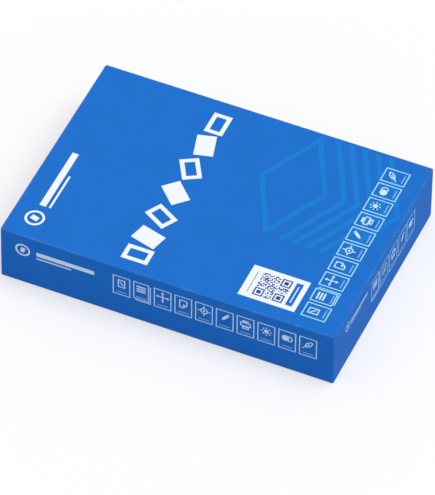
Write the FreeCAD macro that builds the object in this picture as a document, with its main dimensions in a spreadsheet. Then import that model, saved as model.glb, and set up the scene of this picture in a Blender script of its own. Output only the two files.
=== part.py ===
import FreeCAD, Part
import os
import Sketcher
from FreeCAD import Vector
from math import pi

# A wrapped ream of A4 copier paper: the stack of sheets in a printed paper wrapper, which is closed
# by a lap seam along the bottom and by envelope folds at both short ends.
# X runs along the sheets' length, Y along their width and Z up, from the centre of the bottom.
# The right half is modelled, from the middle of the length to the end, and then mirrored.

# Driving dimensions, in millimetres
SIZES = {
    # The paper inside, about 500 sheets
    "sheet_length": 297.0,
    "sheet_width": 210.0,
    "stack_height": 54.3,
    # How far the wrapper's outside stands off the stack: above and below it, at its long sides,
    # and at its ends, where the tucked corners lie under the flaps
    "face_standoff": 0.25,
    "side_standoff": 0.25,
    "end_standoff": 0.6,
    # How far each end flap stands out from what it is folded on, and how far the two flaps lap
    "lower_flap_rise": 0.2,
    "upper_flap_rise": 0.2,
    "flap_overlap": 30.0,
    # How far in from the pack's corner a slanting crease starts
    "crease_inset": 1.1,
    # Radii of the wrapper's folded edges
    "long_edge_radius": 0.9,
    "upper_end_radius": 1.2,
    "lower_end_radius": 1.0,
    # The lap seam: how far past the middle the outer ply ends, how deep the inner ply lies there,
    # and the width over which it comes back to the level of the outer one
    "seam_offset": 14.0,
    "seam_depth": 0.15,
    "seam_run": 25.0,
    # How far a flap's root and the seam's cutting profile reach past the surface that they meet
    "root_margin": 1.0,
}

# Dimensions that follow from the driving ones
DERIVED = {
    "pack_width": "sheet_width + 2 * side_standoff",
    "pack_height": "stack_height + 2 * face_standoff",
    "tucked_half_length": "sheet_length / 2 + end_standoff",
    "lower_flap_reach": "tucked_half_length + lower_flap_rise",
    "upper_flap_reach": "lower_flap_reach + upper_flap_rise",
    "flap_depth": "(pack_height + flap_overlap) / 2",
    "flap_root_width": "pack_width - 2 * crease_inset",
    "flap_edge_width": "flap_root_width - 2 * flap_depth",
    "lower_root_depth": "lower_flap_rise + lower_end_radius + root_margin",
    "upper_root_depth": "lower_flap_rise + upper_flap_rise + upper_end_radius + root_margin",
}

NODE = "wrapped_ream"

# How a sketch's constraints name the ends of a line, the sketch's own axes and its origin
START, END = range(1, 3)
AXIS, VERTICAL_AXIS = range(-1, -3, -1)
ORIGIN_POINT = START

document = FreeCAD.newDocument("ream_of_paper")
dimensions = document.addObject("Spreadsheet::Sheet", "dimensions")


def fill_spreadsheet():
    """One row for each dimension: its name, and its value or formula under an alias."""
    rows = [(name, str(size)) for name, size in SIZES.items()]
    rows += [(name, "=" + formula) for name, formula in DERIVED.items()]
    for number, (name, content) in enumerate(rows, start=1):
        dimensions.set(f"A{number}", name)
        dimensions.set(f"B{number}", content)
        dimensions.setAlias(f"B{number}", name)
        document.recompute()


def size(name):
    return float(dimensions.get(name))


def origin_plane(body, role):
    return next(feature for feature in body.Origin.OriginFeatures if feature.Role == role)


def add_sketch(body, name, role, distance=None):
    """A sketch on one of the body's origin planes, or at a named distance in front of it."""
    sketch = body.newObject("Sketcher::SketchObject", name)
    sketch.AttachmentSupport = [(origin_plane(body, role), "")]
    sketch.MapMode = "FlatFace"
    if distance:
        sketch.setExpression("AttachmentOffset.Base.z", "dimensions." + distance)
    return sketch


def add_line(sketch, start, end):
    return sketch.addGeometry(Part.LineSegment(Vector(*start, 0), Vector(*end, 0)), False)


def add_arc(sketch, centre, radius, first_angle, last_angle):
    circle = Part.Circle(Vector(*centre, 0), Vector(0, 0, 1), radius)
    return sketch.addGeometry(Part.ArcOfCircle(circle, first_angle, last_angle), False)


def constrain(sketch, kind, *arguments):
    return sketch.addConstraint(Sketcher.Constraint(kind, *arguments))


def dimension(sketch, name, cell, kind, *arguments):
    """A driving constraint, bound to the spreadsheet."""
    index = constrain(sketch, kind, *arguments)
    sketch.renameConstraint(index, name)
    sketch.setExpression("Constraints." + name, "dimensions." + cell)


def close_outline(sketch, lines):
    for first, second in zip(lines, lines[1:] + lines[:1]):
        constrain(sketch, "Coincident", first, END, second, START)


def edges_where(feature, test):
    """The names of a feature's edges whose two ends both pass a test."""
    return [
        f"Edge{number}"
        for number, edge in enumerate(feature.Shape.Edges, start=1)
        if all(test(vertex.Point) for vertex in edge.Vertexes)
    ]


def near(value, target, tolerance=1e-4):
    return abs(value - target) < tolerance


def round_edges(body, name, feature, edges, radius):
    fillet = body.newObject("PartDesign::Fillet", name)
    fillet.Base = (feature, edges)
    fillet.setExpression("Radius", "dimensions." + radius)
    document.recompute()


def draw_side_outline(sketch):
    """Half of the pack as seen from its long side, up to the tucked corners of the end."""
    reach, height = size("tucked_half_length"), size("pack_height")
    upper, lower = size("upper_end_radius"), size("lower_end_radius")
    bottom = add_line(sketch, (0, 0), (reach - lower, 0))
    lower_bend = add_arc(sketch, (reach - lower, lower), lower, -pi / 2, 0)
    end = add_line(sketch, (reach, lower), (reach, height - upper))
    upper_bend = add_arc(sketch, (reach - upper, height - upper), upper, 0, pi / 2)
    top = add_line(sketch, (reach - upper, height), (0, height))
    middle = add_line(sketch, (0, height), (0, 0))
    for first, second in ((bottom, lower_bend), (lower_bend, end), (end, upper_bend), (upper_bend, top)):
        constrain(sketch, "Tangent", first, END, second, START)
    constrain(sketch, "Coincident", top, END, middle, START)
    constrain(sketch, "Coincident", middle, END, bottom, START)
    constrain(sketch, "Coincident", bottom, START, AXIS, ORIGIN_POINT)
    constrain(sketch, "Horizontal", bottom)
    constrain(sketch, "Horizontal", top)
    constrain(sketch, "Vertical", end)
    constrain(sketch, "Vertical", middle)
    ends = (AXIS, ORIGIN_POINT, end, START)
    dimension(sketch, "reach", "tucked_half_length", "DistanceX", *ends, reach)
    ends = (middle, END, middle, START)
    dimension(sketch, "height", "pack_height", "DistanceY", *ends, height)
    dimension(sketch, "upper_radius", "upper_end_radius", "Radius", upper_bend, upper)
    dimension(sketch, "lower_radius", "lower_end_radius", "Radius", lower_bend, lower)


def make_tucked_block():
    """The wrapped stack with the wrapper's long sides tucked in over its end."""
    body = document.addObject("PartDesign::Body", NODE)
    body.Label = NODE
    outline = add_sketch(body, "side_outline", "XZ_Plane")
    draw_side_outline(outline)
    block = body.newObject("PartDesign::Pad", "block")
    block.Profile = outline
    block.SideType = "Symmetric"
    block.setExpression("Length", "dimensions.pack_width")
    document.recompute()
    side = size("pack_width") / 2
    long_edges = edges_where(block, lambda point: near(abs(point.y), side))
    middle_edges = edges_where(block, lambda point: near(point.x, 0))
    folded_edges = [name for name in long_edges if name not in middle_edges]
    round_edges(body, "rounded_block", block, folded_edges, "long_edge_radius")
    return body


def draw_flap_outline(sketch, root_height, direction):
    """A flap with its root along the pack's edge and slanting creases at both sides."""
    root, edge, depth = size("flap_root_width") / 2, size("flap_edge_width") / 2, size("flap_depth")
    edge_height = root_height + direction * depth
    root_line = add_line(sketch, (-root, root_height), (root, root_height))
    right_crease = add_line(sketch, (root, root_height), (edge, edge_height))
    free_edge = add_line(sketch, (edge, edge_height), (-edge, edge_height))
    left_crease = add_line(sketch, (-edge, edge_height), (-root, root_height))
    close_outline(sketch, (root_line, right_crease, free_edge, left_crease))
    constrain(sketch, "Symmetric", root_line, START, root_line, END, VERTICAL_AXIS)
    constrain(sketch, "Symmetric", free_edge, START, free_edge, END, VERTICAL_AXIS)
    ends = (root_line, START, root_line, END)
    dimension(sketch, "root_width", "flap_root_width", "DistanceX", *ends, 2 * root)
    ends = (free_edge, END, free_edge, START)
    dimension(sketch, "edge_width", "flap_edge_width", "DistanceX", *ends, 2 * edge)
    if direction > 0:
        constrain(sketch, "PointOnObject", root_line, START, AXIS)
        ends = (root_line, START, free_edge, END)
    else:
        ends = (AXIS, ORIGIN_POINT, root_line, START)
        dimension(sketch, "root_height", "pack_height", "DistanceY", *ends, root_height)
        ends = (free_edge, END, root_line, START)
    dimension(sketch, "depth", "flap_depth", "DistanceY", *ends, depth)


def make_flap(which, root_height, direction):
    """A flap as a body of its own, bent over the edge of the end that it hangs from."""
    body = document.addObject("PartDesign::Body", which + "_flap")
    outline = add_sketch(body, which + "_flap_outline", "YZ_Plane", which + "_flap_reach")
    draw_flap_outline(outline, root_height, direction)
    layer = body.newObject("PartDesign::Pad", which + "_flap_layer")
    layer.Profile = outline
    layer.Reversed = True
    layer.setExpression("Length", f"dimensions.{which}_root_depth")
    document.recompute()
    reach = size(which + "_flap_reach")
    bend = edges_where(layer, lambda point: near(point.x, reach) and near(point.z, root_height))
    round_edges(body, which + "_flap_bend", layer, bend, which + "_end_radius")
    return body


def join_flap(body, flap_body, name):
    joined = body.newObject("PartDesign::Boolean", name)
    joined.setObjects([flap_body])
    joined.Type = "Fuse"
    document.recompute()


def draw_seam_path(sketch):
    """Along the bottom, round the end's lower edge and up the lower flap."""
    reach, radius, depth = size("lower_flap_reach"), size("lower_end_radius"), size("flap_depth")
    along = add_line(sketch, (0, 0), (reach - radius, 0))
    bend = add_arc(sketch, (reach - radius, radius), radius, -pi / 2, 0)
    rise = add_line(sketch, (reach, radius), (reach, depth))
    constrain(sketch, "Coincident", along, START, AXIS, ORIGIN_POINT)
    constrain(sketch, "Horizontal", along)
    constrain(sketch, "Tangent", along, END, bend, START)
    constrain(sketch, "Tangent", bend, END, rise, START)
    constrain(sketch, "Vertical", rise)
    ends = (AXIS, ORIGIN_POINT, rise, START)
    dimension(sketch, "reach", "lower_flap_reach", "DistanceX", *ends, reach)
    dimension(sketch, "radius", "lower_end_radius", "Radius", bend, radius)
    ends = (AXIS, ORIGIN_POINT, rise, END)
    dimension(sketch, "depth", "flap_depth", "DistanceY", *ends, depth)


def draw_seam_profile(sketch):
    """A wedge: one ply deep at the outer ply's edge, and level with it at the other side."""
    near_side, run = size("seam_offset"), size("seam_run")
    depth, margin = size("seam_depth"), size("root_margin")
    far_side = near_side + run
    ply_edge = add_line(sketch, (near_side, -margin), (near_side, depth))
    slope = add_line(sketch, (near_side, depth), (far_side, 0))
    outer_side = add_line(sketch, (far_side, 0), (far_side, -margin))
    outside = add_line(sketch, (far_side, -margin), (near_side, -margin))
    close_outline(sketch, (ply_edge, slope, outer_side, outside))
    constrain(sketch, "Vertical", ply_edge)
    constrain(sketch, "Vertical", outer_side)
    constrain(sketch, "Horizontal", outside)
    constrain(sketch, "PointOnObject", slope, END, AXIS)
    ends = (AXIS, ORIGIN_POINT, ply_edge, START)
    dimension(sketch, "offset", "seam_offset", "DistanceX", *ends, near_side)
    ends = (ply_edge, START, outside, START)
    dimension(sketch, "run", "seam_run", "DistanceX", *ends, run)
    ends = (AXIS, ORIGIN_POINT, ply_edge, END)
    dimension(sketch, "depth", "seam_depth", "DistanceY", *ends, depth)
    ends = (ply_edge, START, AXIS, ORIGIN_POINT)
    dimension(sketch, "margin", "root_margin", "DistanceY", *ends, margin)


def cut_seam(body):
    """The inner ply lies deeper than the outer one, along the bottom and up the lower flap."""
    path = add_sketch(body, "seam_path", "XZ_Plane")
    draw_seam_path(path)
    profile = add_sketch(body, "seam_profile", "YZ_Plane")
    draw_seam_profile(profile)
    document.recompute()
    seam = body.newObject("PartDesign::SubtractivePipe", "lap_seam")
    seam.Profile = profile
    seam.Spine = (path, [""])
    document.recompute()


def mirror_half(body):
    whole = body.newObject("PartDesign::Mirrored", "both_halves")
    whole.TransformMode = "Whole shape"
    whole.MirrorPlane = (origin_plane(body, "YZ_Plane"), [""])
    body.Tip = whole
    document.recompute()


def check_document(body):
    for item in document.Objects:
        if "Invalid" in item.State or "Error" in item.State:
            raise RuntimeError(f"{item.Label} failed: {item.State}")
    if body.Shape.isNull() or not body.Shape.isValid() or len(body.Shape.Solids) != 1:
        raise RuntimeError(f"{body.Label} is not one valid solid")


fill_spreadsheet()
ream = make_tucked_block()
lower_flap = make_flap("lower", 0, 1)
upper_flap = make_flap("upper", size("pack_height"), -1)
join_flap(ream, lower_flap, "lower_flap_folded_up")
cut_seam(ream)
join_flap(ream, upper_flap, "upper_flap_folded_down")
mirror_half(ream)
check_document(ream)
os.makedirs("parts", exist_ok=True)
ream.Shape.exportStep(f"parts/{ream.Label}.step")
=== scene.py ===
"""A wrapped ream of A4 paper: its folded wrapper, the print on it, and a plain studio stage."""

import math

import bmesh
import bpy
from mathutils import Matrix, Vector, noise


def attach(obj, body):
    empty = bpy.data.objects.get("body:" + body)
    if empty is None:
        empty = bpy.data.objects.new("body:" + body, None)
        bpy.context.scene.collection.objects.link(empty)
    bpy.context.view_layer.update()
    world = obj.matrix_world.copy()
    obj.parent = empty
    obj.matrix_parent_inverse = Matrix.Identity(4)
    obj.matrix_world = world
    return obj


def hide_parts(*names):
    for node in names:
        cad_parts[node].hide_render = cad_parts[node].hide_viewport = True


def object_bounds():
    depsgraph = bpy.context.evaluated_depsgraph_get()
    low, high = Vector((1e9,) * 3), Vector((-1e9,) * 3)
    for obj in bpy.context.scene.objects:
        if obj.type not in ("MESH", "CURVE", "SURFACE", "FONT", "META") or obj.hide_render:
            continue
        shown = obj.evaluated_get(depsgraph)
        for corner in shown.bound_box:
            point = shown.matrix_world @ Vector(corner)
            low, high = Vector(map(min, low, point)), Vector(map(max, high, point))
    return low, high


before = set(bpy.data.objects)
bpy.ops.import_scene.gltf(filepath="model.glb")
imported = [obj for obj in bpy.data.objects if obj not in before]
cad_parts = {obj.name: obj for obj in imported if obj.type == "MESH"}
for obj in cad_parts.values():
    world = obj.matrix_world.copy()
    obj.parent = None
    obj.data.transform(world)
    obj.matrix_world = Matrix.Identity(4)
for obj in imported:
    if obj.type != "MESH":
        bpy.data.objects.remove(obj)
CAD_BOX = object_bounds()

bl_info = {
    "name": "Wrapped ream of paper",
    "version": (1, 0, 0),
    "blender": (4, 5, 0),
    "location": "View3D > Sidebar > Ream",
    "description": "Builds a ream of paper in its printed wrapper, and a plain stage for it",
    "category": "Object",
}

NODE = "wrapped_ream"
BODY = "root"
MM = 0.001
LENGTH, WIDTH, HEIGHT = CAD_BOX[1] - CAD_BOX[0]

# Places nearer to each other than this are one: on the ream in metres, on a page of print in millimetres
TINY = 1e-6
PAGE_TINY = 0.001
# Half the width of the steep wall at the edge of a fold
HALF_WALL = 0.08 * MM
# Flat strips that a rounded bend is made of
BEND_STEPS = 6
# How far beside a bend the paper still lies flat, and where its slack starts and is full
HOLD = 0.8 * MM
SLACK_START, SLACK_FULL = 2 * MM, 20 * MM
# Faces that meet at more than this angle have a sharp edge between them
SHARP_ANGLE = math.radians(32)

# Height of some print above the paper, as a multiple of the usual one: the large motif lies below the rest,
# the marks on the label above its panel, and the line in the label's bar above the bar
MOTIF_LIFT, MARK_LIFT, INSET_LIFT = 0.6, 1.4, 1.7
# How much the ink's strength varies, and how much in light print, where it shows less
MOTTLE, LIGHT_MOTTLE = 0.16, 0.04
# How strongly the paper mirrors what is round it
SPECULAR = 0.015

# Layout of the print in millimetres, from the middle of the top or the middle of a side's lower edge
TITLE = dict(x=-1.4, y=34.4, count=7, width=16.6, gap=1.95, line=3.8)
MOTIF = dict(x=40, y=-50.6, width=124, line=4.4, sheets=6)
MOTIF_LIMITS = dict(left=-103, right=103.2, low=-145.5, high=140)
LABEL_PANEL = dict(x=-74.15, y=-82.6, width=35.6, height=50.2)
LABEL_SQUARES = dict(x=-74.2, y=-81.1, side=26.2, count=21)
LABEL_BAR = dict(x=-74.2, y=-100.5, width=26.2, height=6)
LABEL_BAR_LINE = dict(x=-74.2, y=-100.5, width=19, height=0.9)
LABEL_LINE = dict(x=-74.2, y=-63.5, width=25, height=1.1)
CORNER_MARKS = {
    "top": dict(x=-82.2, y=128.5, size=17, bar_x=-67, bar_width=66, bar_height=13),
    "front": dict(x=-129, y=38.2, size=13.5, bar_x=-116.5, bar_width=52, bar_height=10),
    "end": dict(x=-77.5, y=41.6, size=9.5, bar_x=-71, bar_width=34.6, bar_height=7.5),
}
STRIPS = {
    "top": dict(first=-84.3, pitch=18.55, y=-124.1, width=16.1, height=21.5, line=0.95),
    "front": dict(first=-39.9, pitch=18.45, y=33.8, width=15.8, height=22, line=0.95),
    "end": dict(first=-18.8, pitch=19.0, y=32.4, width=16.6, height=24.3, line=0.8),
}

# Towards the main light
KEY_DIRECTION = (0.33, -0.06, 0.94)


def linear(red, green, blue):
    """A colour given in 0 to 255 steps as a screen shows it, in linear light."""
    def channel(step):
        share = step / 255
        return share / 12.92 if share <= 0.04045 else ((share + 0.055) / 1.055) ** 2.4

    return channel(red), channel(green), channel(blue)


def distance(name, description, millimetres):
    return bpy.props.FloatProperty(
        name=name, description=description, default=millimetres * MM,
        unit="LENGTH", subtype="DISTANCE", precision=5,
    )


def colour(name, description, red, green, blue):
    return bpy.props.FloatVectorProperty(
        name=name, description=description, default=linear(red, green, blue),
        subtype="COLOR", size=3, min=0, max=1,
    )


def degrees(name, description, default):
    return bpy.props.FloatProperty(
        name=name, description=description, default=math.radians(default), unit="ROTATION", subtype="ANGLE"
    )


class ReamFoldSettings(bpy.types.PropertyGroup):
    """How the wrapper is folded round the stack."""

    upper_bend: distance("Upper bend", "Radius of the bend from the top to an end", 1.2)
    lower_bend: distance("Lower bend", "Radius of the bend from the bottom to an end", 1.0)
    long_bend: distance("Long bend", "Radius of the bends along the long sides and at the corners", 0.9)
    flap_rise: distance("Flap rise", "How far each end flap stands out from what it lies on", 0.2)
    flap_overlap: distance("Flap overlap", "How far the upper end flap laps the lower one", 30.0)
    crease_inset: distance("Crease inset", "How far in from the corner a slanting crease starts", 1.1)
    seam_offset: distance("Seam offset", "How far past the middle of the bottom the outer ply ends", 14.0)
    seam_depth: distance("Seam depth", "How deep the inner ply lies at the outer ply's edge", 0.15)
    seam_run: distance("Seam run", "Width over which the inner ply comes level again", 25.0)
    waviness: distance("Waviness", "How far the paper dips between its high places", 0.14)
    wave_length: distance("Wave length", "Distance from one dip in the paper to the next", 60.0)
    skin: distance("Skin", "How far the paper lies inside the solid model, under the print", 0.06)
    mesh_step: distance("Mesh step", "Distance between the cuts that let the paper undulate", 6.0)


class ReamPrintSettings(bpy.types.PropertyGroup):
    """The print on the wrapper. The front's and the end's own copies of some colours are retinted for the
    light on those faces: painted shading.
    """

    blue: colour("Blue", "Ground colour of the wrapper", 34, 113, 205)
    white: colour("White", "White print", 240, 246, 253)
    outline: colour("Outline", "Boxes round the pictograms on the top and the end", 172, 232, 255)
    pale: colour("Pale blue", "Pictograms on the top and the end", 206, 240, 255)
    # The front's outline and pale colours are copies of the top's print, retinted for how the light falls
    # on the front: painted shading in the print
    front_outline_tinted_for_light: colour("Front outline", "Boxes round the pictograms on the front", 192, 226, 255)
    front_pale_tinted_for_light: colour("Front pale", "Pictograms and corner mark on the front", 216, 237, 255)
    # The end's corner mark is a darker copy of the top's white mark: painted shade on the end
    end_pale_shaded: colour("End pale", "Corner mark on the end", 160, 210, 255)
    tone: colour("Tone", "The large motif, a little lighter than the ground", 31, 126, 212)
    caption: colour("Caption", "Lines under the pictograms", 120, 172, 232)
    ink: colour("Ink", "Marks on the white label", 30, 80, 146)
    grey: colour("Grey", "Thin line on the white label", 176, 184, 196)
    worn: colour("Worn", "Paper that shows through the ink along worn folds", 150, 184, 226)
    ink_lift: distance("Ink lift", "How far the print stands out from the paper", 0.03)
    ink_root: distance("Ink root", "How deep the print is sunk into the paper", 0.05)


class ReamStageSettings(bpy.types.PropertyGroup):
    """The camera, lights and floor."""

    azimuth: degrees("Azimuth", "Camera's direction round the ream, from straight in front", 23.097)
    elevation: degrees("Elevation", "Camera's height above the horizon", 46.434)
    roll: degrees("Roll", "Camera's tilt to the side", 0.857)
    camera_distance: distance("Camera distance", "From the origin to the camera, along its view", 5137.5)
    aim_right: distance("Aim right", "How far the origin lies to the right of the line of sight", -0.128)
    aim_up: distance("Aim up", "How far the origin lies above the line of sight", 2.72)
    lens: bpy.props.FloatProperty(name="Lens", description="Focal length in millimetres", default=449.35)
    sky: bpy.props.FloatProperty(name="Sky", description="Strength of the even white light", default=0.52)
    key: bpy.props.FloatProperty(name="Key", description="Strength of the main soft light", default=1.68)
    key_spread: degrees("Key spread", "Width of the main light as the ream sees it", 50)
    floor_size: distance("Floor size", "Side of the floor", 8000.0)
    floor: colour("Floor", "Colour of the floor as the ream sees it", 200, 206, 216)


# Shapes of the print, in millimetres on a flat page: X to the right and Y up

def flat_matrix(x, y, turn=0.0, width=1.0, height=1.0):
    place = Matrix.Translation((x, y, 0)) @ Matrix.Rotation(math.radians(turn), 4, "Z")
    return place @ Matrix.Diagonal((width, height, 1, 1))


def place_at(x, y, turn, reach):
    """The place at a distance from (x, y), in a direction given in degrees."""
    return x + reach * math.cos(math.radians(turn)), y + reach * math.sin(math.radians(turn))


def new_faces(made):
    """The faces round the corners that an operator has just made."""
    return list({face for corner in made["verts"] for face in corner.link_faces})


def rectangle(page, x, y, width, height, turn=0.0):
    made = bmesh.ops.create_grid(
        page, x_segments=1, y_segments=1, size=0.5, matrix=flat_matrix(x, y, turn, width, height)
    )
    return new_faces(made)


def disc(page, x, y, radius, corners=32, turn=0.0):
    made = bmesh.ops.create_circle(
        page, cap_ends=True, segments=corners, radius=radius, matrix=flat_matrix(x, y, turn)
    )
    return new_faces(made)


def hollow(page, faces, line):
    """Leaves only a line along the inside of each face's outline."""
    bmesh.ops.inset_region(page, faces=faces, thickness=line, use_boundary=True, use_even_offset=True)
    bmesh.ops.delete(page, geom=faces, context="FACES_ONLY")


def frame_line(page, x, y, width, height, line, turn=0.0):
    hollow(page, rectangle(page, x, y, width, height, turn), line)


def ring(page, x, y, radius, line):
    hollow(page, disc(page, x, y, radius), line)


def arc_line(page, x, y, radius, line, first, sweep, steps):
    """A band along an arc: a short edge across the line is spun about the arc's centre."""
    ends = [
        page.verts.new((*place_at(x, y, first, radius + side * line / 2), 0)) for side in (-1, 1)
    ]
    edge = page.edges.new(ends)
    bmesh.ops.spin(
        page, geom=[*ends, edge], cent=(x, y, 0), axis=(0, 0, 1), angle=math.radians(sweep), steps=steps
    )


def patch(page, corners):
    face = page.faces.new([page.verts.new((x, y, 0)) for x, y in corners])
    face.normal_update()
    return [face]


def chevron(page, x, y, half_width, fall, line):
    """A wide V: two slanting bars that meet in the middle."""
    for side in (-1, 1):
        tip, outer = (x, y - fall), (x + side * half_width, y)
        patch(page, [tip, outer, (outer[0], outer[1] - line), (tip[0], tip[1] - line)])


def leaf(page, x, y, length, turn):
    """A pointed oval: two arcs spun from tip to tip and filled."""
    half_angle = math.radians(48)
    reach = length / 2
    offset = reach / math.tan(half_angle)
    before = set(page.edges)
    for side in (-1, 1):
        tip = page.verts.new((0, -reach, 0))
        bmesh.ops.spin(
            page, geom=[tip], cent=(-side * offset, 0, 0), axis=(0, 0, 1),
            angle=side * 2 * half_angle, steps=8,
        )
    edges = [edge for edge in page.edges if edge not in before]
    corners = list({corner for edge in edges for corner in edge.verts})
    bmesh.ops.transform(page, matrix=flat_matrix(x, y, turn), verts=corners)
    bmesh.ops.remove_doubles(page, verts=corners, dist=PAGE_TINY)
    made = bmesh.ops.contextual_create(page, geom=[edge for edge in page.edges if edge not in before])
    for face in made["faces"]:
        face.normal_update()
    return made["faces"]


# Pictograms, each drawn round the point (x, y), with lines of a given width where it has lines

def sheet_size(page, x, y, line):
    frame_line(page, x, y, width=6.6, height=9.2, line=line)
    rectangle(page, x, y, width=line, height=5.4, turn=35)


def sheet_count(page, x, y, line):
    pitch = 2.7
    for step in (-1, 0, 1):
        rectangle(page, x, y + step * pitch, width=8.2, height=1.5)


def four_arrows(page, x, y, line):
    arm, head = 3.7, 4.6
    rectangle(page, x, y, width=2 * arm, height=line)
    for side in (-1, 1):
        rectangle(page, x, y + side * (arm + line / 2) / 2, width=line, height=arm - line / 2)
    for turn in range(0, 360, 90):
        disc(page, *place_at(x, y, turn, head), radius=1.6, corners=3, turn=turn - 90)


def folded_page(page, x, y, line):
    """A sheet with its lower right corner folded up: the outline without the corner, and the fold."""
    half_width, half_height, fold, lap = 3.7, 4.7, 3.6, 0.6
    left, right, low, high = x - half_width, x + half_width, y - half_height, y + half_height
    hollow(page, patch(page, [
        (left, low), (right - fold, low), (right, low + fold), (right, high), (left, high),
    ]), line)
    gap = 1.5 * line
    inner_x, inner_y = right - fold - lap, low + fold + lap
    patch(page, [(inner_x, low + gap), (right - gap, inner_y), (inner_x, inner_y)])


def target(page, x, y, line):
    ring(page, x, y, radius=3.4, line=line)
    disc(page, x, y, radius=1.1, corners=16)
    tick = 4.6
    for turn in range(0, 360, 90):
        rectangle(page, *place_at(x, y, turn, tick), width=2.2, height=line, turn=turn)


def pen(page, x, y, line):
    turn = 50
    barrel, point, cap = 1.2, -2.5, 5.0
    rectangle(page, *place_at(x, y, turn, barrel), width=5.6, height=2.6, turn=turn)
    disc(page, *place_at(x, y, turn, point), radius=1.5, corners=3, turn=turn + 90)
    rectangle(page, *place_at(x, y, turn, cap), width=1.0, height=2.6, turn=turn)


def printer(page, x, y, line):
    paper_rise, tray_drop = 3.6, 3.9
    frame_line(page, x, y, width=9.6, height=4.6, line=line)
    rectangle(page, x, y + paper_rise, width=5.6, height=1.8)
    frame_line(page, x, y - tray_drop, width=6.0, height=3.0, line=line)


def brightness(page, x, y, line):
    disc(page, x, y, radius=2.1, corners=24)
    ray = 3.9
    for turn in range(0, 360, 45):
        rectangle(page, *place_at(x, y, turn, ray), width=1.7, height=line, turn=turn)


def two_sides(page, x, y, line):
    """A full disc, and half the outline of another beside it."""
    radius = 3.3
    disc(page, x - 1.5, y, radius)
    arc_line(page, x + 1.6, y, radius - line / 2, line, first=-104, sweep=208, steps=20)


def leaf_mark(page, x, y, line):
    """A leaf in outline, with its rib and its stalk."""
    hollow(page, leaf(page, x + 0.7, y + 0.7, length=10.4, turn=-45), 0.9 * line)
    rectangle(page, x - 0.1, y - 0.1, width=4.6, height=0.8 * line, turn=45)
    rectangle(page, x - 3.9, y - 3.9, width=2.2, height=line, turn=45)


PICTOGRAMS = (
    sheet_size, sheet_count, four_arrows, folded_page, target,
    pen, printer, brightness, two_sides, leaf_mark,
)
END_PICTOGRAMS = (sheet_count, folded_page, printer, pen, two_sides)


def stack_symbol(page, x, y, width, line, sheets):
    """A stack of sheets in outline, seen from a corner."""
    half_width, half_depth = width / 2, width / 4
    sheet_step, sheet_line = 2.7 * line, 1.15 * line
    hollow(page, patch(page, [
        (x - half_width, y), (x, y - half_depth), (x + half_width, y), (x, y + half_depth),
    ]), line)
    for number in range(1, sheets):
        chevron(page, x, y - number * sheet_step, half_width, half_depth, sheet_line)


# The large row across the top: a sheet that turns over as it goes

def turning_sheets(page, x, y, count, width, gap, line):
    """Every second sheet is solid and the others are outlines, each turned further than the last."""
    height = width * math.sqrt(2)
    turns = [90 * number / (count - 1) for number in range(count)]
    spans = [
        width * math.cos(math.radians(turn)) + height * math.sin(math.radians(turn)) for turn in turns
    ]
    left = x - (sum(spans) + gap * (count - 1)) / 2
    for number, (turn, span) in enumerate(zip(turns, spans)):
        if number % 2:
            rectangle(page, left + span / 2, y, width, height, -turn)
        else:
            frame_line(page, left + span / 2, y, width, height, line, -turn)
        left += span + gap


# From a flat page to a face of the ream

class Face:
    """A side of the ream that carries print: the directions of a page on it, and the page's origin."""

    def __init__(self, right, up, origin):
        self.right, self.up, self.origin = Vector(right), Vector(up), Vector(origin)
        self.out = self.right.cross(self.up)

    def matrix(self):
        turned = Matrix((self.right, self.up, self.out)).transposed().to_4x4()
        return Matrix.Translation(self.origin) @ turned @ Matrix.Scale(MM, 4)


TOP = Face(right=(0, 1, 0), up=(-1, 0, 0), origin=(0, 0, HEIGHT))
FRONT = Face(right=(1, 0, 0), up=(0, 0, 1), origin=(0, -WIDTH / 2, 0))
END = Face(right=(0, 1, 0), up=(0, 0, 1), origin=(LENGTH / 2, 0, 0))


def smooth_step(value, low, high):
    """0 up to low, 1 from high on, and a smooth rise between them."""
    part = min(max((value - low) / (high - low), 0), 1)
    return part * part * (3 - 2 * part)


def wall_step(value):
    """0 on one side of a fold's edge, 1 on the other, and a steep wall between them."""
    return min(max((value + HALF_WALL) / (2 * HALF_WALL), 0), 1)


def face_distances(point):
    """How far a point lies inside the nearest end, long side, and top or bottom."""
    return LENGTH / 2 - abs(point.x), WIDTH / 2 - abs(point.y), min(point.z, HEIGHT - point.z)


def dip(point, folds):
    """How deep the slack paper lies at a point. It is tight at the bends."""
    edge_distance = sorted(face_distances(point))[1]
    slack = smooth_step(edge_distance, SLACK_START, SLACK_FULL)
    wave = noise.noise(Vector(point) / folds.wave_length, noise_basis="PERLIN_ORIGINAL")
    return folds.waviness * slack * (0.5 + 0.5 * wave)


def upper_cover(point, folds):
    """1 where the upper end flap lies, 0 outside it."""
    slant = (WIDTH / 2 - folds.crease_inset - abs(point.y) - (HEIGHT - point.z)) / math.sqrt(2)
    return wall_step(min(slant, point.z - upper_flap_edge(folds)))


def lower_cover(point, folds):
    """1 where the lower end flap lies, 0 beside its slanting creases."""
    slant = (WIDTH / 2 - folds.crease_inset - abs(point.y) - point.z) / math.sqrt(2)
    return wall_step(slant)


def upper_flap_edge(folds):
    """Height of the upper flap's free edge."""
    return (HEIGHT - folds.flap_overlap) / 2


def seam_depth(point, folds):
    """How deep the inner ply of the lap seam lies. It comes back level at the end of its run."""
    past = point.y - folds.seam_offset
    if past < -HALF_WALL:
        return 0
    return folds.seam_depth * wall_step(past) * (1 - smooth_step(past, 0, folds.seam_run))


def bisect(shape, point, direction, chosen=None):
    """Cuts faces along a plane and leaves everything in place."""
    faces = [face for face in shape.faces if chosen is None or chosen(face)]
    edges = {edge for face in faces for edge in face.edges}
    corners = {corner for face in faces for corner in face.verts}
    bmesh.ops.bisect_plane(
        shape, geom=[*corners, *edges, *faces], dist=TINY, plane_co=point, plane_no=direction
    )


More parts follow.
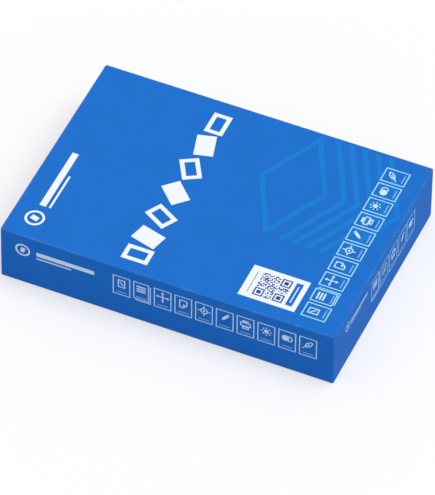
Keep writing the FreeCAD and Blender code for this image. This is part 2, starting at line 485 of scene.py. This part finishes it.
def grid_lines(half_span, step):
    """Evenly spaced places from -half_span to half_span, no further apart than step."""
    count = math.ceil(2 * half_span / step)
    return [2 * half_span * number / count - half_span for number in range(count + 1)]


def bevel(shape, edges, radius):
    bmesh.ops.bevel(
        shape, geom=edges, offset=radius, offset_type="OFFSET", segments=BEND_STEPS,
        profile=0.5, affect="EDGES", material=-1, clamp_overlap=True,
    )


def middle(edge):
    return (edge.verts[0].co + edge.verts[1].co) / 2


def keep_piece(name, shape, materials, smooth=False):
    """Makes an object of a finished shape, gives it its materials and lets it ride on the ream."""
    mesh = bpy.data.meshes.new(name)
    shape.to_mesh(mesh)
    shape.free()
    for material in materials:
        mesh.materials.append(material)
    for polygon in mesh.polygons:
        polygon.use_smooth = smooth
    piece = bpy.data.objects.new(name, mesh)
    bpy.context.scene.collection.objects.link(piece)
    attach(piece, BODY)
    return piece


def rounded_block(folds):
    """The outer form: a block with rounded edges, first those of the ends and then the long sides'."""
    shape = bmesh.new()
    size = Vector((LENGTH, WIDTH, HEIGHT)) - Vector((2, 2, 2)) * folds.skin
    bmesh.ops.create_cube(shape, size=1)
    bmesh.ops.scale(shape, vec=size, verts=shape.verts)
    bmesh.ops.translate(shape, vec=(0, 0, HEIGHT / 2), verts=shape.verts)
    for upper, radius in ((True, folds.upper_bend), (False, folds.lower_bend)):
        across = [
            edge for edge in shape.edges
            if abs(middle(edge).y) < TINY and abs(middle(edge).x) > size.x / 2 - TINY
            and abs(middle(edge).z - HEIGHT / 2) > size.z / 2 - TINY
            and (middle(edge).z > HEIGHT / 2) == upper
        ]
        bevel(shape, across, radius)
    outer = size.y / 2 - TINY
    around = [
        edge for edge in shape.edges
        if all(abs(corner.co.y) > outer for corner in edge.verts)
        and edge.verts[0].co.y * edge.verts[1].co.y > 0
    ]
    bevel(shape, around, folds.long_bend)
    return shape


def cut_for_waves(shape, folds):
    """Cuts the flat faces into a grid, so that the paper can undulate."""
    half_length = LENGTH / 2 - folds.upper_bend - HOLD
    half_width = WIDTH / 2 - folds.long_bend - HOLD
    half_height = HEIGHT / 2 - folds.upper_bend - HOLD
    for place in grid_lines(half_length, folds.mesh_step):
        bisect(shape, (place, 0, 0), (1, 0, 0))
    for place in grid_lines(half_width, folds.mesh_step):
        bisect(shape, (0, place, 0), (0, 1, 0))
    for place in grid_lines(half_height, folds.mesh_step):
        bisect(shape, (0, 0, HEIGHT / 2 + place), (0, 0, 1))


def cut_for_folds(shape, folds):
    """Cuts the ends along the flaps' edges and the bottom along the lap seam, each with a narrow wall."""
    def on_end(face):
        return abs(face.calc_center_median().x) > LENGTH / 2 - folds.upper_bend

    def below(face):
        return face.calc_center_median().z < HEIGHT / 2

    corner = WIDTH / 2 - folds.crease_inset
    for side in (-1, 1):
        for height, rise in ((0, 1), (HEIGHT, -1)):
            direction = Vector((0, side, rise)).normalized()
            for wall in (-HALF_WALL, HALF_WALL):
                bisect(shape, Vector((0, side * corner, height)) + direction * wall, direction, on_end)
    for wall in (-HALF_WALL, HALF_WALL):
        bisect(shape, (0, 0, upper_flap_edge(folds) + wall), (0, 0, 1), on_end)
        bisect(shape, (0, folds.seam_offset + wall, 0), (0, 1, 0), below)


def settle_wrapper(shape, folds):
    """Gives the cut block its flaps, its seam and its slack."""
    shape.normal_update()
    moves = []
    for corner in shape.verts:
        point = corner.co
        inward = dip(point, folds)
        bare = 1 - upper_cover(point, folds)
        under = lower_cover(point, folds)
        if point.z < HEIGHT / 2:
            inward += bare * under * seam_depth(point, folds)
        move = corner.normal * -inward
        if abs(point.x) > LENGTH / 2 - folds.upper_bend - 2 * folds.skin:
            move.x -= math.copysign(bare * (2 - under) * folds.flap_rise, point.x)
        moves.append(move)
    for corner, move in zip(shape.verts, moves):
        corner.co += move


def mark_cut_edges(shape, folds):
    """The paper's white cut edges: the upper flaps' lower edges and the outer ply's edge."""
    corner_reach = WIDTH / 2 - folds.crease_inset - (HEIGHT - upper_flap_edge(folds))
    for face in shape.faces:
        centre = face.calc_center_median()
        on_end = abs(centre.x) > LENGTH / 2 - folds.lower_bend and abs(centre.y) < corner_reach
        flap_edge = on_end and abs(centre.z - upper_flap_edge(folds)) < HALF_WALL
        seam_edge = abs(centre.y - folds.seam_offset) < HALF_WALL and centre.z < upper_flap_edge(folds)
        face.material_index = int(flap_edge or seam_edge)


def lay_print(name, page, face, lift, material):
    """Gives a page of flat shapes its thickness, lays it on a face and lets it follow the paper."""
    folds = bpy.context.scene.ream_folds
    ink = bpy.context.scene.ream_print
    bmesh.ops.remove_doubles(page, verts=page.verts, dist=PAGE_TINY)
    page.normal_update()
    bmesh.ops.reverse_faces(page, faces=[shape for shape in page.faces if shape.normal.z < 0])
    for place in grid_lines(LENGTH / 2 / MM, folds.mesh_step / MM):
        bisect(page, (place, 0, 0), (1, 0, 0))
        bisect(page, (0, place, 0), (0, 1, 0))
    bmesh.ops.solidify(page, geom=page.faces, thickness=(lift + ink.ink_root) / MM)
    bmesh.ops.recalc_face_normals(page, faces=page.faces)
    highest = max(corner.co.z for corner in page.verts)
    bmesh.ops.translate(page, vec=(0, 0, (lift - folds.skin) / MM - highest), verts=page.verts)
    bmesh.ops.transform(page, matrix=face.matrix(), verts=page.verts)
    for corner in page.verts:
        corner.co -= face.out * dip(corner.co, folds)
    return keep_piece(name, page, [material])


def crop(page, left, right, low, high):
    """Keeps what lies between four lines of the page."""
    for point, direction in (
        ((left, 0, 0), (-1, 0, 0)), ((right, 0, 0), (1, 0, 0)),
        ((0, low, 0), (0, -1, 0)), ((0, high, 0), (0, 1, 0)),
    ):
        bmesh.ops.bisect_plane(
            page, geom=[*page.verts, *page.edges, *page.faces], plane_co=point, plane_no=direction,
            clear_outer=True,
        )


# Finishes

def new_group(name, inputs, outputs):
    """An empty shader node group with named number inputs, each with a default, and named outputs."""
    group = bpy.data.node_groups.new(name, "ShaderNodeTree")
    for label, default in inputs.items():
        socket = group.interface.new_socket(label, in_out="INPUT", socket_type="NodeSocketFloat")
        socket.default_value = default
    for label in outputs:
        group.interface.new_socket(label, in_out="OUTPUT", socket_type="NodeSocketFloat")
    return group, group.nodes.new("NodeGroupInput"), group.nodes.new("NodeGroupOutput")


def noise_node(tree, coordinates, scale, detail, stretch=(1, 1, 1), seed=0.0):
    """Noise on the object's own coordinates, in features per metre."""
    mapping = tree.nodes.new("ShaderNodeMapping")
    mapping.inputs["Scale"].default_value = stretch
    mapping.inputs["Location"].default_value = (seed, seed, seed)
    texture = tree.nodes.new("ShaderNodeTexNoise")
    texture.inputs["Scale"].default_value = scale
    texture.inputs["Detail"].default_value = detail
    tree.links.new(coordinates, mapping.inputs["Vector"])
    tree.links.new(mapping.outputs["Vector"], texture.inputs["Vector"])
    return texture.outputs["Fac"]


def connect(tree, value, socket):
    """Links a socket, or sets a number."""
    if isinstance(value, bpy.types.NodeSocket):
        tree.links.new(value, socket)
    else:
        socket.default_value = value


def calculate(tree, operation, *values):
    node = tree.nodes.new("ShaderNodeMath")
    node.operation = operation
    for value, socket in zip(values, node.inputs):
        connect(tree, value, socket)
    return node.outputs["Value"]


def remap(tree, value, from_low, from_high, to_low, to_high):
    node = tree.nodes.new("ShaderNodeMapRange")
    node.interpolation_type = "SMOOTHSTEP"
    for label, setting in (
        ("Value", value), ("From Min", from_low), ("From Max", from_high),
        ("To Min", to_low), ("To Max", to_high),
    ):
        connect(tree, setting, node.inputs[label])
    return node.outputs["Result"]


def blend_colours(tree, factor, first, second):
    node = tree.nodes.new("ShaderNodeMix")
    node.data_type = "RGBA"
    connect(tree, factor, node.inputs["Factor"])
    for value, label in ((first, "A_Color"), (second, "B_Color")):
        socket = next(item for item in node.inputs if item.identifier == label)
        connect(tree, value, socket)
    return next(item for item in node.outputs if item.identifier == "Result_Color")


def coated_paper_group():
    """Coated paper: uneven ink, a fibre grain, the long waves of slack paper, and glossier patches."""
    name = "coated_paper"
    if name in bpy.data.node_groups:
        return bpy.data.node_groups[name]
    group, inputs, outputs = new_group(
        name, {"Mottle Amount": MOTTLE, "Grain": 0.02, "Waves": 0.8, "Gloss": 0.4},
        ("Mottle", "Height", "Roughness"),
    )
    coordinates = group.nodes.new("ShaderNodeTexCoord").outputs["Object"]
    cloud = noise_node(group, coordinates, scale=38, detail=4, seed=3.1)
    speck = noise_node(group, coordinates, scale=1400, detail=2, seed=7.7)
    cloud_share = 0.7
    uneven = calculate(
        group, "ADD",
        calculate(group, "MULTIPLY", cloud, cloud_share),
        calculate(group, "MULTIPLY", speck, 1 - cloud_share),
    )
    mottle = calculate(
        group, "MULTIPLY_ADD",
        calculate(group, "SUBTRACT", uneven, 0.5), inputs.outputs["Mottle Amount"], 1.0,
    )
    fibre = noise_node(group, coordinates, scale=1700, detail=3, stretch=(1, 0.45, 0.6), seed=1.3)
    long_wave = noise_node(group, coordinates, scale=16, detail=2, stretch=(0.7, 1.2, 1.0), seed=5.2)
    height = calculate(
        group, "ADD",
        calculate(group, "MULTIPLY", fibre, inputs.outputs["Grain"]),
        calculate(group, "MULTIPLY", long_wave, inputs.outputs["Waves"]),
    )
    patches = noise_node(group, coordinates, scale=70, detail=3, seed=9.4)
    gloss_spread = 0.16
    roughness = calculate(
        group, "MULTIPLY_ADD",
        calculate(group, "SUBTRACT", patches, 0.5), gloss_spread, inputs.outputs["Gloss"],
    )
    group.links.new(mottle, outputs.inputs["Mottle"])
    group.links.new(height, outputs.inputs["Height"])
    group.links.new(roughness, outputs.inputs["Roughness"])
    return group


def paper_material(name, tint, gloss=0.45, mottle=MOTTLE, worn=None):
    """Printed paper of one colour. Along the bends a worn colour shows through where one is given."""
    material = bpy.data.materials.new(name)
    material.use_nodes = True
    tree = material.node_tree
    shader = tree.nodes["Principled BSDF"]
    shader.inputs["Specular IOR Level"].default_value = SPECULAR
    paper = tree.nodes.new("ShaderNodeGroup")
    paper.node_tree = coated_paper_group()
    paper.inputs["Gloss"].default_value = gloss
    paper.inputs["Mottle Amount"].default_value = mottle
    ground = tuple(tint)
    if worn is not None:
        ground = blend_colours(tree, bend_wear(tree), (*tint, 1), (*worn, 1))
    uneven = tree.nodes.new("ShaderNodeVectorMath")
    uneven.operation = "SCALE"
    connect(tree, ground, uneven.inputs["Vector"])
    connect(tree, paper.outputs["Mottle"], uneven.inputs["Scale"])
    connect(tree, uneven.outputs["Vector"], shader.inputs["Base Color"])
    connect(tree, paper.outputs["Roughness"], shader.inputs["Roughness"])
    bump = tree.nodes.new("ShaderNodeBump")
    bump.inputs["Distance"].default_value = MM
    connect(tree, paper.outputs["Height"], bump.inputs["Height"])
    connect(tree, bump.outputs["Normal"], shader.inputs["Normal"])
    return material


def bend_wear(tree):
    """A mask of worn ink: patchy, and only within a few millimetres of a bend in the wrapper."""
    coordinates = tree.nodes.new("ShaderNodeTexCoord").outputs["Object"]
    split = tree.nodes.new("ShaderNodeSeparateXYZ")
    connect(tree, coordinates, split.inputs["Vector"])
    to_end = calculate(tree, "SUBTRACT", LENGTH / 2, calculate(tree, "ABSOLUTE", split.outputs["X"]))
    to_side = calculate(tree, "SUBTRACT", WIDTH / 2, calculate(tree, "ABSOLUTE", split.outputs["Y"]))
    above = calculate(tree, "SUBTRACT", HEIGHT, split.outputs["Z"])
    to_flat = calculate(tree, "MINIMUM", split.outputs["Z"], above)
    nearer = calculate(tree, "MINIMUM", to_end, to_side)
    farther = calculate(tree, "MAXIMUM", to_end, to_side)
    to_bend = calculate(tree, "MAXIMUM", nearer, calculate(tree, "MINIMUM", farther, to_flat))
    close = remap(tree, to_bend, from_low=0.2 * MM, from_high=2.6 * MM, to_low=1, to_high=0)
    patches = noise_node(tree, coordinates, scale=110, detail=5, seed=2.6)
    rubbed = remap(tree, patches, from_low=0.42, from_high=0.75, to_low=0.1, to_high=0.75)
    strength = 0.2
    return calculate(tree, "MULTIPLY", calculate(tree, "MULTIPLY", close, rubbed), strength)


# Pieces

class REAM_OT_wrapper(bpy.types.Operator):
    """Build the folded wrapper with its end flaps and lap seam"""

    bl_idname = "ream.wrapper"
    bl_label = "Wrapper"

    def execute(self, context):
        folds, ink = context.scene.ream_folds, context.scene.ream_print
        shape = rounded_block(folds)
        cut_for_waves(shape, folds)
        cut_for_folds(shape, folds)
        settle_wrapper(shape, folds)
        mark_cut_edges(shape, folds)
        materials = [
            paper_material("printed_blue", ink.blue, worn=ink.worn),
            paper_material("cut_edge", ink.worn, gloss=0.7),
        ]
        piece = keep_piece("wrapper", shape, materials, smooth=True)
        piece.data.set_sharp_from_angle(angle=SHARP_ANGLE)
        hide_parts(NODE)
        return {"FINISHED"}


class REAM_OT_background(bpy.types.Operator):
    """Print the large tone-on-tone motif in the corner of the top"""

    bl_idname = "ream.background"
    bl_label = "Background motif"

    def execute(self, context):
        ink = context.scene.ream_print
        page = bmesh.new()
        stack_symbol(page, **MOTIF)
        crop(page, **MOTIF_LIMITS)
        material = paper_material("printed_tone", ink.tone)
        lay_print("background_motif", page, TOP, MOTIF_LIFT * ink.ink_lift, material)
        return {"FINISHED"}


class REAM_OT_title(bpy.types.Operator):
    """Print the row of large white sheets across the top"""

    bl_idname = "ream.title"
    bl_label = "Row of sheets"

    def execute(self, context):
        ink = context.scene.ream_print
        page = bmesh.new()
        turning_sheets(page, **TITLE)
        material = paper_material("printed_white", ink.white, mottle=LIGHT_MOTTLE)
        lay_print("title_sheets", page, TOP, ink.ink_lift, material)
        return {"FINISHED"}


def corner_mark(page, x, y, size, bar_x, bar_width, bar_height):
    """A ring round a small sheet, with a bar and a thinner line beside it."""
    ring(page, x, y, radius=size / 2, line=0.12 * size)
    rectangle(page, x, y, width=0.28 * size, height=0.4 * size, turn=-15)
    rectangle(page, bar_x + bar_width / 2, y, width=bar_width, height=0.44 * bar_height)
    line_x, line_y = bar_x + 0.3 * bar_width, y - 0.5 * bar_height
    rectangle(page, line_x, line_y, width=0.6 * bar_width, height=0.14 * bar_height)


class REAM_OT_corner_marks(bpy.types.Operator):
    """Print a small plain mark and a bar on the top, the front and the end"""

    bl_idname = "ream.corner_marks"
    bl_label = "Corner marks"

    def execute(self, context):
        ink = context.scene.ream_print
        # The top's mark is white; the front's and the end's copies are darker, painted shade, the end's the
        # darkest
        for place, face, material in (
            ("top", TOP, bpy.data.materials["printed_white"]),
            ("front", FRONT, paper_material("printed_front", ink.front_pale_tinted_for_light, mottle=LIGHT_MOTTLE)),
            ("end", END, paper_material("printed_end", ink.end_pale_shaded, mottle=LIGHT_MOTTLE)),
        ):
            page = bmesh.new()
            corner_mark(page, **CORNER_MARKS[place])
            lay_print("corner_mark_" + place, page, face, ink.ink_lift, material)
        return {"FINISHED"}


def square_pattern(page, x, y, side, count):
    """A square block of small squares in a made-up pattern, with a plain target in three corners."""
    cell = side / count
    square = 0.96 * cell
    target_cells = 7
    reach = (count - 1) / 2
    clear = reach - target_cells - 1
    corner = reach - (target_cells - 1) / 2
    for column in range(count):
        for row in range(count):
            across, up = column - reach, row - reach
            in_corner = min(abs(across), abs(up)) > clear and not (across > 0 and up > 0)
            # Two waves that cross each other leave no order that shows
            dark = math.sin(1.7 * column + 2.3 * row) + math.sin(2.9 * column - 1.1 * row) > 0
            if dark and not in_corner:
                rectangle(page, x + across * cell, y + up * cell, square, square)
    for side_x, side_y in ((-1, -1), (-1, 1), (1, -1)):
        middle_x, middle_y = x + side_x * corner * cell, y + side_y * corner * cell
        frame_line(page, middle_x, middle_y, target_cells * cell, target_cells * cell, cell)
        rectangle(page, middle_x, middle_y, 3 * cell, 3 * cell)


class REAM_OT_label(bpy.types.Operator):
    """Print the white panel with its block of small squares, its thin line and its blue bar"""

    bl_idname = "ream.label"
    bl_label = "Label panel"

    def execute(self, context):
        ink = context.scene.ream_print
        white = bpy.data.materials["printed_white"]
        dark = paper_material("printed_ink", ink.ink)
        blue = paper_material("printed_bar", ink.blue)
        grey = paper_material("printed_grey", ink.grey)
        for name, draw, layout, lift, material, slot in (
            ("label_panel", rectangle, LABEL_PANEL, 1, white, "white_print"),
            ("label_marks", square_pattern, LABEL_SQUARES, MARK_LIFT, dark, "pale_print"),
            ("label_bar", rectangle, LABEL_BAR, MARK_LIFT, blue, "pale_print"),
            ("label_bar_line", rectangle, LABEL_BAR_LINE, INSET_LIFT, white, "white_print"),
            ("label_line", rectangle, LABEL_LINE, MARK_LIFT, grey, "pale_print"),
        ):
            page = bmesh.new()
            draw(page, **layout)
            lay_print(name, page, TOP, lift * ink.ink_lift, material)
        return {"FINISHED"}


def stacked_frame(page, x, y, width, height, line):
    """A box with another behind it that shows at the right and below. Tells how far the box is shifted."""
    shift = 1.8 * line
    frame_line(page, x - shift / 2, y + shift / 2, width - shift, height - shift, line)
    left, right = x - width / 2 + shift, x + width / 2
    low, high = y - height / 2, y + height / 2 - shift
    patch(page, [
        (left, low), (right, low), (right, high),
        (right - line, high), (right - line, low + line), (left, low + line),
    ])
    return shift / 2


def pictogram_strip(outlines, pictures, captions, symbols, first, pitch, y, width, height, line):
    """A row of outlined boxes, each with a symbol and a short line under it."""
    symbol_y, caption_y = y + 0.11 * height, y - 0.34 * height
    for number, symbol in enumerate(symbols):
        x = first + number * pitch
        if symbol is sheet_count:
            shift = stacked_frame(outlines, x, y, width, height, line)
        else:
            shift = 0
            frame_line(outlines, x, y, width, height, line)
        symbol(pictures, x - shift, symbol_y + shift, line)
        rectangle(captions, x - shift, caption_y + shift, width=0.6 * width, height=0.06 * height)


class REAM_OT_pictograms(bpy.types.Operator):
    """Print the rows of outlined pictograms on the top, the front and the end"""

    bl_idname = "ream.pictograms"
    bl_label = "Pictograms"

    def execute(self, context):
        ink = context.scene.ream_print
        for place, face, symbols, outline, pale in (
            ("top", TOP, PICTOGRAMS, ink.outline, ink.pale),
            # The front's boxes and pictograms use copies of the top's colours retinted for the light on the
            # front: painted shading
            ("front", FRONT, PICTOGRAMS, ink.front_outline_tinted_for_light, ink.front_pale_tinted_for_light),
            ("end", END, END_PICTOGRAMS, ink.outline, ink.pale),
        ):
            outlines, pictures, captions = bmesh.new(), bmesh.new(), bmesh.new()
            pictogram_strip(outlines, pictures, captions, symbols, **STRIPS[place])
            for name, page, tint in (
                ("outlines_" + place, outlines, outline),
                ("pictograms_" + place, pictures, pale),
                ("captions_" + place, captions, ink.caption),
            ):
                material = paper_material("printed_" + name, tint)
                lay_print(name, page, face, ink.ink_lift, material)
        return {"FINISHED"}


# Stage

def camera_matrix(stage):
    """The camera's place: out along its line of sight, then aside, and tilted about that line."""
    azimuth, elevation = stage.azimuth, stage.elevation
    back = Vector((
        math.sin(azimuth) * math.cos(elevation),
        -math.cos(azimuth) * math.cos(elevation),
        math.sin(elevation),
    ))
    right = Vector((math.cos(azimuth), math.sin(azimuth), 0))
    up = back.cross(right)
    tilt = Matrix.Rotation(stage.roll, 3, back)
    right, up = tilt @ right, tilt @ up
    place = back * stage.camera_distance - right * stage.aim_right - up * stage.aim_up
    turned = Matrix((right, up, back)).transposed().to_4x4()
    return Matrix.Translation(place) @ turned


def seen_directly(tree):
    """1 for what the camera sees, straight or in a reflection or through glass."""
    path = tree.nodes.new("ShaderNodeLightPath")
    seen = calculate(tree, "MAXIMUM", path.outputs["Is Camera Ray"], path.outputs["Is Glossy Ray"])
    return calculate(tree, "MAXIMUM", seen, path.outputs["Is Transmission Ray"])


def add_camera(scene, stage):
    data = bpy.data.cameras.new("camera")
    data.lens = stage.lens
    data.sensor_width = 36
    data.clip_end = 100
    camera = bpy.data.objects.new("camera", data)
    camera.matrix_world = camera_matrix(stage)
    scene.collection.objects.link(camera)
    scene.camera = camera


def add_surroundings(scene, stage):
    """An even white light all round, which is full white where it is seen directly."""
    world = bpy.data.worlds.new("white_surroundings")
    world.use_nodes = True
    tree = world.node_tree
    background = tree.nodes["Background"]
    background.inputs["Color"].default_value = (1, 1, 1, 1)
    strength = calculate(tree, "MULTIPLY_ADD", seen_directly(tree), 1 - stage.sky, stage.sky)
    connect(tree, strength, background.inputs["Strength"])
    scene.world = world


def add_key_light(scene, stage, towards):
    data = bpy.data.lights.new("soft_key", "SUN")
    data.energy = stage.key
    data.angle = stage.key_spread
    light = bpy.data.objects.new("soft_key", data)
    turned = towards.to_track_quat("Z", "Y").to_matrix().to_4x4()
    light.matrix_world = Matrix.Translation(towards) @ turned
    scene.collection.objects.link(light)


def floor_material(stage, towards):
    """A pale floor whose glow makes up what it lacks to white, for the camera only. Its shadow stays."""
    material = bpy.data.materials.new("floor")
    material.use_nodes = True
    tree = material.node_tree
    shader = tree.nodes["Principled BSDF"]
    shader.inputs["Base Color"].default_value = (*stage.floor, 1)
    shader.inputs["Roughness"].default_value = 0.9
    shader.inputs["Specular IOR Level"].default_value = 0
    lit = stage.sky + stage.key * towards.z / math.pi
    glow = [1 - lit * channel for channel in stage.floor]
    shader.inputs["Emission Color"].default_value = (*glow, 1)
    connect(tree, seen_directly(tree), shader.inputs["Emission Strength"])
    return material


def add_floor(scene, stage, towards):
    shape = bmesh.new()
    bmesh.ops.create_grid(shape, x_segments=1, y_segments=1, size=stage.floor_size / 2)
    mesh = bpy.data.meshes.new("floor")
    shape.to_mesh(mesh)
    shape.free()
    mesh.materials.append(floor_material(stage, towards))
    floor = bpy.data.objects.new("floor", mesh)
    scene.collection.objects.link(floor)


class REAM_OT_stage(bpy.types.Operator):
    """Set the camera, the soft light, the white surroundings and the pale floor"""

    bl_idname = "ream.stage"
    bl_label = "Stage"

    def execute(self, context):
        scene = context.scene
        stage = scene.ream_stage
        towards = Vector(KEY_DIRECTION).normalized()
        add_camera(scene, stage)
        add_surroundings(scene, stage)
        add_key_light(scene, stage, towards)
        add_floor(scene, stage, towards)
        scene.view_settings.view_transform = "Standard"
        return {"FINISHED"}


class REAM_PT_panel(bpy.types.Panel):
    """Lists the pieces of the ream and their settings"""

    bl_idname = "REAM_PT_panel"
    bl_label = "Ream of paper"
    bl_space_type = "VIEW_3D"
    bl_region_type = "UI"
    bl_category = "Ream"

    def draw(self, context):
        scene = context.scene
        for settings in (scene.ream_folds, scene.ream_print, scene.ream_stage):
            column = self.layout.box().column()
            for name in settings.__annotations__:
                column.prop(settings, name)
        column = self.layout.column()
        for operator in OPERATORS:
            column.operator(operator.bl_idname)


SETTINGS = {
    "ream_folds": ReamFoldSettings,
    "ream_print": ReamPrintSettings,
    "ream_stage": ReamStageSettings,
}
OPERATORS = (
    REAM_OT_wrapper, REAM_OT_background, REAM_OT_title, REAM_OT_corner_marks,
    REAM_OT_label, REAM_OT_pictograms, REAM_OT_stage,
)


def register():
    for item in (*SETTINGS.values(), *OPERATORS, REAM_PT_panel):
        bpy.utils.register_class(item)
    for name, settings in SETTINGS.items():
        setattr(bpy.types.Scene, name, bpy.props.PointerProperty(type=settings))


def unregister():
    for name in SETTINGS:
        delattr(bpy.types.Scene, name)
    for item in reversed((*SETTINGS.values(), *OPERATORS, REAM_PT_panel)):
        bpy.utils.unregister_class(item)


def main():
    register()
    for operator in OPERATORS:
        group, name = operator.bl_idname.split(".")
        getattr(getattr(bpy.ops, group), name)()


if __name__ == "__main__":
    main()
